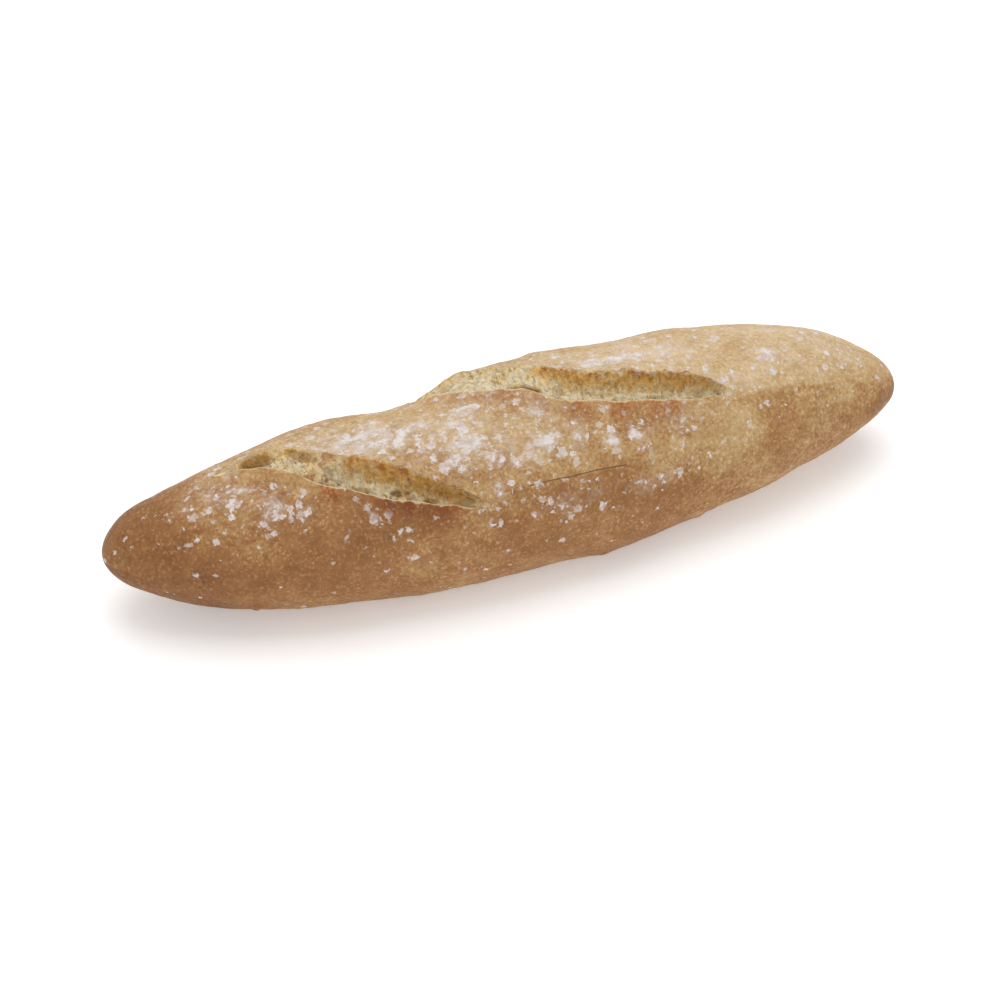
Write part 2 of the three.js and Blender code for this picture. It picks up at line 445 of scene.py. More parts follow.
    def shade(self, spot: Spot) -> float:
        """Returns how much painted shade darkens a hollow's floor, 0 to 1."""
        return max(
            hollow.toast * hollow.sink(spot.x, spot.across, spot.opening) for hollow in self.hollows
        )

    def from_rim_highlight(self, spot: Spot) -> float:
        """Returns how far a place lies from the painted highlight along the near lip's rim, in mm, and more
        where it has none.
        """
        bare = self.rim_highlight_gap * (1 - spot.open)
        return min(abs(spot.across - 1) * spot.opening + bare, FAR_AWAY)

    def lip_shade(self, spot: Spot) -> float:
        """Returns how much painted shade darkens and reddens the crust just under the near lip, 0 to 1."""
        below = (spot.across - 1) * spot.opening
        if spot.open == 0.0 or below < 0.0:
            return 0.0
        shade_under_lip = self.shade_under_lip
        stretch = sum(bell((spot.x - x) / reach) for x, reach in shade_under_lip.spots)
        stretch += shade_under_lip.in_shallow * (1 - self.deepness(spot.x, 1.0))
        deep = shade_under_lip.deep + shade_under_lip.deep_wander * wander(
            spot.x, shade_under_lip.wander_length, self.seed + shade_under_lip.own_seed
        )
        deep = max(deep, shade_under_lip.deep_least) + shade_under_lip.deeper_in_spots * stretch
        return min(spot.open * (shade_under_lip.least + shade_under_lip.in_spots * stretch) * bell(below / deep), 1.0)


@dataclass(frozen=True)
class FlourPatch:
    """A patch of flour left on the crust, in mm and degrees."""

    x: float
    turn: float
    along: float
    around: float
    slant: float = 0.0
    weight: float = 1.0
    reach: float = 2.2  # how many times its own size away it has thinned out

    def cover(self, x: float, turn: float, radius: float) -> float:
        """Returns how thickly it covers a place, 0 to its weight."""
        dx = x - self.x
        if abs(dx) > self.reach * max(self.along, self.around):
            return 0.0
        dy = math.radians(turn - self.turn) * radius
        c, s = math.cos(math.radians(self.slant)), math.sin(math.radians(self.slant))
        u, v = (dx * c - dy * s) / self.along, (dx * s + dy * c) / self.around
        return self.weight * bell(math.hypot(u, v))


FIRST_FAR = Line(
    ((-94, -14), (-87, -15), (-80, -19), (-74, -14), (-66, -2), (-58, 9), (-45, 24), (-31, 42), (-20, 58))
)
FIRST_NEAR = Line(
    ((-94, -10), (-88, -3), (-78, 9), (-72, 19), (-66, 30), (-59, 36), (-50, 45))
    + ((-38, 53), (-28, 59), (-20, 62))
)
SECOND_FAR = Line(
    ((-32, -34), (-26, -42), (-19, -48), (-12, -44), (-5, -30), (2, -19), (9, -14))
    + ((15, -6), (23, 1), (40, 9), (55, 17), (61, 23), (66, 34))
)
SECOND_NEAR = Line(
    ((-32, -30), (-26, -15), (-19, -6), (-8, 2), (3, 9), (8, 17), (14, 21))
    + ((22, 24), (33, 30), (46, 34), (66, 38))
)
CRACK = Line(((-17, 54.1), (-9, 54.5), (1, 54.9), (5, 55.6), (13, 56), (17.5, 56.5), (24, 57.7)))
SEAM = Line(((73, 35.4), (80, 36), (90, 37.1), (94, 38.5)))

FIRST_CUT = Cut(
    seed=11.3,
    far=FIRST_FAR,
    near=FIRST_NEAR,
    depth=5.2,
    lip=1.9,
    curl=1.5,
    brow=0.4,
    deep_from=-64.5,
    deep_slant=-12.0,
    shallow=0.3,
    browning=Browning(shallow=0.2, wall=0.5, wall_reach=0.8),
    shade_under_lip=LipShade(((-65, 3), (-51, 3), (-44, 2.5), (-35, 5))),
    strands=(Strand(-66, -12, 2.3, 0.95),),
    hollows=(
        Hollow(-80.5, 0.24, 5.6, 2.4, 0.5, 0.5),
        Hollow(-68.0, 0.17, 5.0, 2.2, 0.45, 0.36),
        Hollow(-55, 0.7, 3.2, 1.3),
        Hollow(-44, 0.6, 3.0, 1.2),
        Hollow(-36, 0.75, 2.4, 1.0),
    ),
)

SECOND_CUT = Cut(
    seed=47.9,
    far=SECOND_FAR,
    near=SECOND_NEAR,
    depth=5.4,
    lip=1.7,
    curl=1.4,
    brow=0.5,
    deep_from=5.0,
    deep_slant=-7.0,
    shallow=0.5,
    browning=Browning(shallow=0.12, wall=0.42, wall_reach=0.56),
    shade_under_lip=LipShade(((15, 3.5), (28, 5), (38, 2.5), (45, 3))),
    strands=(Strand(-14, 0, 15, 0.25), Strand(9, -7, 3.0, 0.4)),
    hollows=(
        Hollow(4.5, 0.55, 3.6, 2.0, 0.5, 0.8),
        Hollow(-16, 0.3, 3.2, 1.2),
        Hollow(28, 0.7, 3.2, 1.2),
        Hollow(43, 0.6, 3.0, 1.1),
        Hollow(54, 0.7, 2.2, 1.0),
    ),
)

NEAR_FLOUR = (
    FlourPatch(-22, 6, 40, 18, 0, 0.24),
    FlourPatch(36, -8, 44, 14, 0, 0.32),
    FlourPatch(5, 30, 28, 12, 0, 0.2),
    FlourPatch(-80, 24, 16, 12, 0, 0.1),
    FlourPatch(-45, 8, 21, 6.5, -8, 0.88),
    FlourPatch(-58, 4, 10, 3.0, -4, 0.7),
    FlourPatch(-18, 6, 15, 4.0, 8, 0.6),
    FlourPatch(-24, 26, 10, 5.0, 30, 0.85),
    FlourPatch(-13, 33, 7, 3.5, 40, 0.85),
    FlourPatch(31, -4, 20, 3.2, -4, 0.9),
    FlourPatch(53, -5, 9, 2.4, -16, 0.65),
    FlourPatch(0, 37, 10, 3.6, 20, 0.85),
    FlourPatch(12, 38, 4, 2.4, 60, 0.9),
    FlourPatch(22, 44, 3.4, 2.0, -43, 1.0),
    FlourPatch(30, 44, 4.4, 1.8, -66, 1.0),
    FlourPatch(3, 17, 4.2, 3.0, 0, 0.75),
    FlourPatch(66, 27, 9, 4.0, -20, 0.65),
    FlourPatch(82, 14, 6.5, 4.5, 0, 0.75),
    FlourPatch(108, 20, 9, 5.0, 0, 0.4),
    FlourPatch(-82, 28, 4.6, 4.2, -40, 0.8),
    FlourPatch(-72, 38, 3.0, 2.2, 20, 0.6),
    FlourPatch(-88, -4, 8, 2.2, 8, 0.6),
    FlourPatch(-93, 7, 5.5, 1.8, -14, 0.8),
    FlourPatch(-98, 8, 15, 9.0, 0, 0.42),
    FlourPatch(-50, 66, 12, 8.0, 0, 0.2),
    FlourPatch(-17, 55, 4.0, 3.0, 60, 0.7),
    FlourPatch(6, 69, 13, 6.0, 0, 0.62),
    FlourPatch(33, 70, 11, 5.0, 10, 0.66),
    FlourPatch(98, -6, 24, 13, 0, 0.38),
    FlourPatch(-50, 0, 22, 10, 0, 0.33),
    FlourPatch(-22, 30, 9, 6, 30, 0.3),
    FlourPatch(44, 42, 12, 6, 0, 0.35),
)

EVERYWHERE = Reach()
LEVEL = Line(((0, 0),))
SIDES = Reach(low=14, fade_in=62)
TOP = Reach(high=76, fade_out=62)


@dataclass(frozen=True)
class Tone:
    """A stretch of crust drawn browner, or paler where its amount is below nought."""

    amount: float
    along: Reach = EVERYWHERE
    around: Reach = EVERYWHERE
    line: Line = LEVEL
    past: Reach = EVERYWHERE  # how far past the line it lies, in mm

    def at(self, x: float, turn: float, radius: float) -> float:
        """Returns how much it browns a place."""
        share = self.amount * self.along.share(x) * self.around.share(turn)
        if share == 0.0 or self.past is EVERYWHERE:
            return share
        return share * self.past.share(math.radians(turn - self.line.at(x)) * radius)


@dataclass(frozen=True)
class Band:
    """A soft band of browner or paler crust that runs below a line, in mm and degrees."""

    amount: float
    along: Reach
    below: float
    around: float
    line: Line = LEVEL

    def at(self, x: float, turn: float, radius: float) -> float:
        """Returns how much it browns a place."""
        return self.amount * bell((turn - self.line.at(x) - self.below) / self.around) * self.along.share(x)


@dataclass(frozen=True)
class Oven:
    """How browned the crust is drawn, from 0 to 1: the oven's browning, with painted shade down its sides
    and below its crease.
    """

    both_sides: tuple[Tone, ...] = (
        Tone(0.14),
        # darker down both sides: partly browning, partly painted shade where the sides turn from the light
        # above
        Tone(0.46, around=SIDES),
        Tone(0.46, Reach(high=-70, fade_out=38)),
        Tone(-0.26, Reach(high=-70, fade_out=38), SIDES),
        Tone(0.2, Reach(high=-98, fade_out=16), TOP),
        Tone(0.14, Reach(-95, 24, 20, 30), TOP),
        Tone(-0.17, Reach(low=30, fade_in=60), SIDES),
        # darker still low on both sides, towards the underside: partly browning, partly painted shade near
        # the floor
        Tone(0.08, around=Reach(low=56, fade_in=36)),
    )
    near_side: tuple[Tone | Band, ...] = (
        Tone(0.26, Reach(-108, -22, 38, 22), TOP, FIRST_NEAR, Reach(low=-1.2, fade_in=2)),
        # darker below the seam and paler just above it: partly browning, partly painted shade below the
        # crease
        Tone(0.19, Reach(68, 112, 6, 14), Reach(high=92, fade_out=34), SEAM, Reach(low=0, fade_in=0.9)),
        Tone(-0.04, Reach(68, 112, 6, 14), Reach(low=0, fade_in=20), SEAM, Reach(high=0.9, fade_out=0.9)),
        Tone(0.18, Reach(low=98, fade_in=16), Reach(low=6, fade_in=40)),
        # darker below the fine crack: partly browning, partly painted shade below the crease
        Tone(0.13, Reach(-26, 46, 18, 22), Reach(high=92, fade_out=26), CRACK, Reach(low=0, fade_in=1.2)),
        Band(0.2, Reach(-92, -20, 20, 24), 50, 22),
        # darker band under the second cut's near lip: partly browning, partly painted shade below the crease
        Band(0.23, Reach(-24, 62, 22, 22), 6, 12, SECOND_NEAR),
        Band(-0.12, Reach(30, 78, 14, 20), 62, 14),
    )
    right_tip: float = 0.1
    right_tip_x: float = 134.0
    right_tip_reach: float = 14.0
    patches: tuple[float, float] = (0.12, 0.07)
    patch_size: tuple[float, float] = (21.0, 24.0)  # in mm along and in degrees around
    patch_seed: float = 1.5
    patch_finer: float = 3.1

    def toast(self, x: float, turn: float, radius: float) -> float:
        """Works out how browned the crust is.

        Args:
            x: the place along the loaf, in mm.
            turn: its turn in degrees.
            radius: the loaf's radius there, in mm.

        Returns:
            The browning, about 0 to 1.
        """
        toast = sum(tone.at(x, abs(turn), radius) for tone in self.both_sides)
        toast += self.right_tip * bell((x - self.right_tip_x) / self.right_tip_reach)
        if turn > 0:
            toast += sum(tone.at(x, turn, radius) for tone in self.near_side)
        along, around = self.patch_size
        place = Vector((x / along, turn / around, self.patch_seed))
        broad, close = self.patches
        return toast + broad * noise.noise(place) + close * noise.noise(place * self.patch_finer)


@dataclass(frozen=True)
class Plain:
    """A point of the plain spindle, before its cuts and swells."""

    point: Vector
    outward: Vector
    over: Vector  # at right angles to outward, from the near towards the far side
    radius: float
    half_width: float


@dataclass
class Loaf:
    """The whole loaf, sized in mm: a spindle that an oven tray flattened, with its two cuts."""

    length: float = 260.0
    width: float = 73.0
    height: float = 52.0
    belly: float = 0.4  # the height of its widest line, as a share of its own height
    underside: float = 0.55  # how far it would reach below that line without a tray
    foot_blend: float = 2.5
    fuller_end: float = 0.04
    sway: float = 8.0
    rings: tuple[int, int, int] = (58, 330, 40)  # right of, along and left of the cuts
    cuts_reach: tuple[float, float] = (68.0, -98.0)
    columns: int = 228
    tip_crowding: float = 0.1
    band_shares: tuple[float, ...] = (0.225, 0.215, 0.1, 0.215, 0.245)  # columns beside and in the cuts
    outer_crowding: float = 1.3  # how closely columns stand at the cuts' edges
    cut_crowding: float = 1.25
    middle_crowding: float = 0.6
    cuts_apart: float = 12.0
    first: Cut = FIRST_CUT
    second: Cut = SECOND_CUT
    oven: Oven = Oven()
    waves: tuple[Wave, ...] = (Wave(0.25, 83, 1, 0.6), Wave(0.2, 47, 2, 2.1), Wave(0.15, 29, 3, 4.4))
    swells: tuple[Swell, ...] = (
        Swell(-24, -48, 23, 5, 36, -4.4),
        Swell(10, -50, 90, 42, 34, -1.9),
        Swell(27, 122, 16, 17, 36, 2.2),
        Swell(-122, -25, 12, 14, 60, 0.8),
        Swell(110, -20, 24, 20, 60, 0.4),
        Swell(108, 125, 20, 20, 45, -1.2),
        Swell(-38, -48, 8, 7, 30, -1.4),
        Swell(45, -48, 16, 13, 30, -1.5),
        Swell(-86, -48, 16, 14, 28, -0.9),
        Swell(-10, -36, 2.6, 2.4, 12, 0.7),
        Swell(-17, -46, 3.6, 4.0, 20, -1.3),
        Swell(15, -38, 2.0, 5.0, 14, 0.7),
    )
    nubs: tuple[Swell, ...] = (
        Swell(-92, 116, 1.8, 2.4, 4, 1.3),
        Swell(50, 120, 1.6, 2.2, 4, 0.7),
        Swell(-40, -112, 2.0, 2.0, 4, 1.1),
        Swell(17, 124, 1.5, 2.0, 3, 0.45),
        Swell(71, -118, 2.4, 1.6, 4, 1.2),
    )
    bumps: tuple[tuple[float, float, tuple[int, int, int]], ...] = (  # height, size and where it starts
        (0.34, 12.0, (0, 0, 0)),
        (0.17, 4.6, (3, 1, 7)),
        (0.08, 2.0, (9, 4, 2)),
    )
    smooth_tip: Reach = Reach(low=2, fade_in=12)  # the half width at which bumps and swells fade out
    fibres: tuple[tuple[float, float, float], ...] = (  # width, length and where it starts
        (1.9, 7.0, 5.0),
        (1.0, 4.0, 9.0),
    )
    fibre_height: float = 0.525
    fibre_reach: float = 0.6
    pores: tuple[tuple[float, float], ...] = ((4.6, 0.8), (2.3, 0.7), (1.4, 0.35))  # size and depth
    pore_wall: float = 0.45
    pore_patches: tuple[float, float, float] = (0.5, 0.9, 2.5)  # middle, height and size in pores
    pores_on_wall: float = 0.4
    # the pore depth at which the painted shade in the pores begins
    pore_shade_from: float = 0.25
    crumb_rise: float = 0.4
    crumb_grain: tuple[float, float] = (0.3, 1.2)  # height and size
    crumb_margin: float = 5.0  # how far outside a cut the crumb's relief is still worked out
    # how strongly the hollows' painted shade darkens their floors
    hollow_shade: float = 1.6
    strand_toast: float = 0.3
    # how much paler the golden lip is drawn, as a painted highlight
    lip_highlight_toast: float = -0.25
    bare_share: float = 0.7  # how much of its flour a strand or the golden lip lacks
    seam_finer: float = 0.16  # how much finer than the crack the seam is drawn, in mm
    thinnest: float = 0.5  # the least radius that places are measured with
    lip_shows: Reach = Reach(-93, -66, 8, 8)
    lip_below: float = 1.3
    lip_reach: float = 2.0
    dusting: tuple[tuple[float, Reach], ...] = (
        (0.18, Reach(high=86, fade_out=50)),
        (0.05, Reach(high=150, fade_out=40)),
    )
    dusting_patches: tuple[float, float] = (18.0, 22.0)  # in mm along and in degrees around
    dusting_seed: float = 8.0
    dusting_share: float = 0.8
    left_dusting: tuple[float, float, float] = (0.35, -122.0, 30.0)  # its share, its end and its fade
    right_dusting: tuple[float, float, float] = (0.75, 50.0, 30.0)  # its share, its start and its fade
    hidden_patches: int = 26
    flour: list[FlourPatch] = field(default_factory=list)

    def __post_init__(self) -> None:
        """Adds the seeded flour of the sides that the photo hides to the patches that it shows."""
        draw = random.Random(20)
        self.flour = list(NEAR_FLOUR)
        for _ in range(self.hidden_patches):
            self.flour.append(
                FlourPatch(
                    x=draw.uniform(-100, 108),
                    turn=draw.uniform(-95, -28),
                    along=draw.uniform(3, 12),
                    around=draw.uniform(2, 5),
                    slant=draw.uniform(-30, 30),
                    weight=draw.uniform(0.4, 0.95),
                )
            )

    def station(self, ring: int) -> float:
        """Works out where a ring of the mesh stands: close together along the cuts and at the tips.

        Args:
            ring: the ring's number, counted from the +X tip.

        Returns:
            Its x in mm.
        """
        right, middle, left = self.rings
        if right < ring < right + middle:
            return lerp(*self.cuts_reach, (ring - right) / middle)
        if ring <= right:
            share, tip, root = ring / right, self.length / 2, self.cuts_reach[0]
        else:
            share, tip, root = (sum(self.rings) - ring) / left, -self.length / 2, self.cuts_reach[1]
        return tip + (root - tip) * share**2 * (1 + self.tip_crowding) / (share + self.tip_crowding)

    def turn(self, x: float, share: float) -> float:
        """Works out where a column of the mesh runs, so that columns follow the edges of both cuts.

        Args:
            x: the place along the loaf, in mm.
            share: the column's share of the way around, from the bottom over the far side.

        Returns:
            The column's turn at x, in degrees.
        """
        far1, near1 = self.first.edges(x)
        far2, near2 = self.second.edges(x)
        pushed = min(near2, far1 - self.cuts_apart)
        far2, near2 = pushed - (near2 - far2), pushed
        stops = (-180.0, far2, near2, far1, near1, 180.0)
        last = len(self.band_shares) - 1
        band = 0
        while band < last and share > self.band_shares[band]:
            share -= self.band_shares[band]
            band += 1
        t = min(share / self.band_shares[band], 1.0)
        eased = (
            1 - (1 - t) ** self.outer_crowding,
            1 - (1 - t) ** self.cut_crowding,
            lerp(t, fade(t), self.middle_crowding),
            1 - (1 - t) ** self.cut_crowding,
            t**self.outer_crowding,
        )[band]
        return lerp(stops[band], stops[band + 1], eased)

    def on_tray(self, z: float) -> float:
        """Returns a height after the tray has flattened the loaf's underside."""
        if z >= self.foot_blend:
            return z
        if z <= -self.foot_blend:
            return 0.0
        return (z + self.foot_blend) ** 2 / (4 * self.foot_blend)

    def crust_relief(self, x: float, turn: float, plain: Plain) -> float:
        """Returns how far the crust's swells, bumps and blisters move a place outwards, in mm."""
        out = sum(form.lift(x, turn) for form in self.waves + self.swells)
        for height, size, start in self.bumps:
            out += height * noise.noise(plain.point / size + Vector(start))
        return self.smooth_tip.share(plain.half_width) * out

    def crumb_relief(self, place: Vector, spot: Spot) -> tuple[float, float]:
        """Works out the torn crumb: stretched fibres on the far wall and a honeycomb of pores below.

        Args:
            place: the place on the smooth loaf, in mm.
            spot: the same place as its cut sees it.

        Returns:
            The crumb's own relief in mm, and how much painted shade darkens the place in a pore, 0 to 1.
        """
        wall = fade(1 - spot.across / self.fibre_reach)
        down = spot.across * spot.opening
        fibre = 0.0
        for wide, long, start in self.fibres:
            fibre += self.fibre_height * noise.noise(Vector((place.x / wide, down / long, start)))
        pore = 0.0
        middle, patchy, patch_size = self.pore_patches
        for size, deep in self.pores:
            near, next_near = noise.voronoi(place / size + Vector((size, 0, 0)))[0][:2]
            keep = middle + patchy * noise.noise(place / (patch_size * size))
            pore += deep * fade((next_near - near) / self.pore_wall) * keep
        pore *= 1 - (1 - self.pores_on_wall) * wall
        height, size = self.crumb_grain
        grain = height * noise.noise(place / size)
        return wall * fibre + self.crumb_rise - pore + grain, min(max(pore - self.pore_shade_from, 0.0), 1.0)

    def lit_golden_lip(self, x: float, turn: float, radius: float) -> float:
        """Returns how much the first cut's lip at its left end is bare golden skin, drawn paler as a painted
        highlight, 0 to 1.
        """
        below = math.radians(turn - self.first.near.at(x)) * radius
        return bell((below - self.lip_below) / self.lip_reach) * self.lip_shows.share(x)

    def floured(self, x: float, turn: float, radius: float) -> float:
        """Returns how thickly the crust is floured, 0 to 1."""
        dusting = sum(amount * reach.share(abs(turn)) for amount, reach in self.dusting)
        along, around = self.dusting_patches
        patchy = noise.noise(Vector((x / along, turn / around, self.dusting_seed)))
        dusting *= self.dusting_share + self.dusting_share * patchy
        left, left_x, left_fade = self.left_dusting
        right, right_x, right_fade = self.right_dusting
        dusting *= lerp(left, 1.0, fade((x - left_x) / left_fade))
        dusting *= lerp(1.0, right, fade((x - right_x) / right_fade))
        bare = 1 - max(dusting, 0.0)
        for patch in self.flour:
            bare *= 1 - patch.cover(x, turn, radius)
        return 1 - bare

    def plain(self, x: float, turn: float) -> Plain:
        """Works out one point of the plain spindle.

        Args:
            x: the place along the loaf, in mm.
            turn: its turn in degrees.

        Returns:
            The point, its directions and its section.
        """
        u = min(max(2 * x / self.length, -1.0), 1.0)
        slim = math.sqrt(1 - u * u)
        fuller = 1 + self.fuller_end * u
        half_width = self.width / 2 * slim * fuller
        angle = math.radians(turn)
        upward, sideways = math.cos(angle), -math.sin(angle)
        belly = self.belly * self.height
        tall = (self.height - belly) * slim * fuller if upward > 0 else self.underside * self.height * slim
        outward = Vector((0, sideways * tall, upward * half_width))
        outward = outward.normalized() if slim > 0 else Vector((math.copysign(1, x), 0, 0))
        return Plain(
            point=Vector((x, -self.sway * u**3 + half_width * sideways, belly + tall * upward)),
            outward=outward,
            over=Vector((0, outward.z, -outward.y)),
            radius=max(math.hypot(half_width * upward, tall * sideways), self.thinnest),
            half_width=half_width,
        )

    def place(self, x: float, turn: float) -> tuple[Vector, dict[Trait, float]]:
        """Works out one point of the finished loaf.

        Args:
            x: the place along the loaf, in mm.
            turn: its turn in degrees.

        Returns:
            The point in mm, and what the material is told there.
        """
        plain = self.plain(x, turn)
        cuts = (self.first, self.second)
        spots = [each.spot(x, turn, plain.radius) for each in cuts]
        spot, cut = max(zip(spots, cuts, strict=True), key=lambda pair: pair[0].inside)
        crumb, pore_shade = 0.0, 0.0
        if spot.inside > -self.crumb_margin:
            crumb, pore_shade = self.crumb_relief(plain.point, spot)
        out = self.crust_relief(x, turn, plain) + sum(nub.lift(x, turn) for nub in self.nubs)
        shift = 0.0
        for seen, each in zip(spots, cuts, strict=True):
            moved, pushed = each.relief(seen, crumb if each is cut else 0.0)
            out += moved
            shift += pushed
        point = plain.point + plain.outward * out + plain.over * shift
        point.z = self.on_tray(point.z)

        within = 0 <= spot.across <= 1
        strand = cut.filled(x, spot.across) if within else 0.0
        lip = self.lit_golden_lip(x, turn, plain.radius)
        if within and spot.inside > 0:
            toast = cut.crumb_toast(spot)
            # painted shade on the floors of the crumb's hollows
            pore_shade += self.hollow_shade * cut.shade(spot)
        else:
            toast = self.oven.toast(x, turn, plain.radius)
            # the strand browner, and the golden lip paler as a painted highlight
            toast += self.strand_toast * strand + self.lip_highlight_toast * lip
            pore_shade = 0.0
        from_seam = SEAM.apart(x, turn, plain.radius) + self.seam_finer
        return point, {
            Trait.INSIDE: max(spot.inside, DEEP_OUTSIDE),
            Trait.RIM_HIGHLIGHT: cut.from_rim_highlight(spot),
            Trait.RED: cut.lip_shade(spot),
            Trait.PORE_SHADE: pore_shade,
            Trait.TOAST: toast,
            Trait.FLOUR: self.floured(x, turn, plain.radius) * (1 - self.bare_share * max(strand, lip)),
            Trait.CREASE: min(CRACK.apart(x, turn, plain.radius), from_seam),
        }

    def build(self) -> bpy.types.Object:
        """Builds the loaf's mesh from a sphere whose poles become the two tips.

        Returns:
            The loaf, standing where the CAD solid stands.
        """
        bm = bmesh.new()
        bm.loops.layers.uv.new("OFBake")
        bmesh.ops.create_uvsphere(
            bm, u_segments=self.columns, v_segments=sum(self.rings), radius=1.0, calc_uvs=True
        )
        layers = {trait: bm.verts.layers.float.new(trait.value) for trait in Trait}
        for vert in bm.verts:
            polar = math.acos(min(max(vert.co.z, -1.0), 1.0))
            around = (math.atan2(vert.co.y, vert.co.x) + math.pi) / (2 * math.pi)
            x = self.station(round(polar / math.pi * sum(self.rings)))
            point, told = self.place(x, self.turn(x, around))
            vert.co = point * MM
            for trait, value in told.items():
                vert[layers[trait]] = value
        low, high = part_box("loaf")
        middle = (min(v.co.y for v in bm.verts) + max(v.co.y for v in bm.verts)) / 2
        bmesh.ops.translate(bm, verts=bm.verts, vec=(0, (low[1] + high[1]) / 2 - middle, low[2]))
        bmesh.ops.recalc_face_normals(bm, faces=bm.faces)
        for face in bm.faces:
            face.smooth = True
        return settle(bm, "baguette_loaf")

    def dress(self, loaf: bpy.types.Object, finish: "CrustFinish") -> None:
        """Gives the loaf its finish and lets it stand for the CAD solid."""
        loaf.data.materials.append(finish.material())
        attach(loaf, "root")
        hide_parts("loaf")


def settle(bm: bmesh.types.BMesh, name: str) -> bpy.types.Object:
    """Turns a finished bmesh into an object of the scene, at the origin."""
    mesh = bpy.data.meshes.new(name)
    bm.to_mesh(mesh)
    bm.free()
    piece = bpy.data.objects.new(name, mesh)
    bpy.context.collection.objects.link(piece)
    return piece


Grain = tuple[float, ...]  # a noise's size in mm, its detail and its roughness
Waver = tuple[float, ...]  # the same with the noise's height after its size
Rise = tuple[float, ...]  # where a value starts and ends rising, and what from and to if not 0 and 1


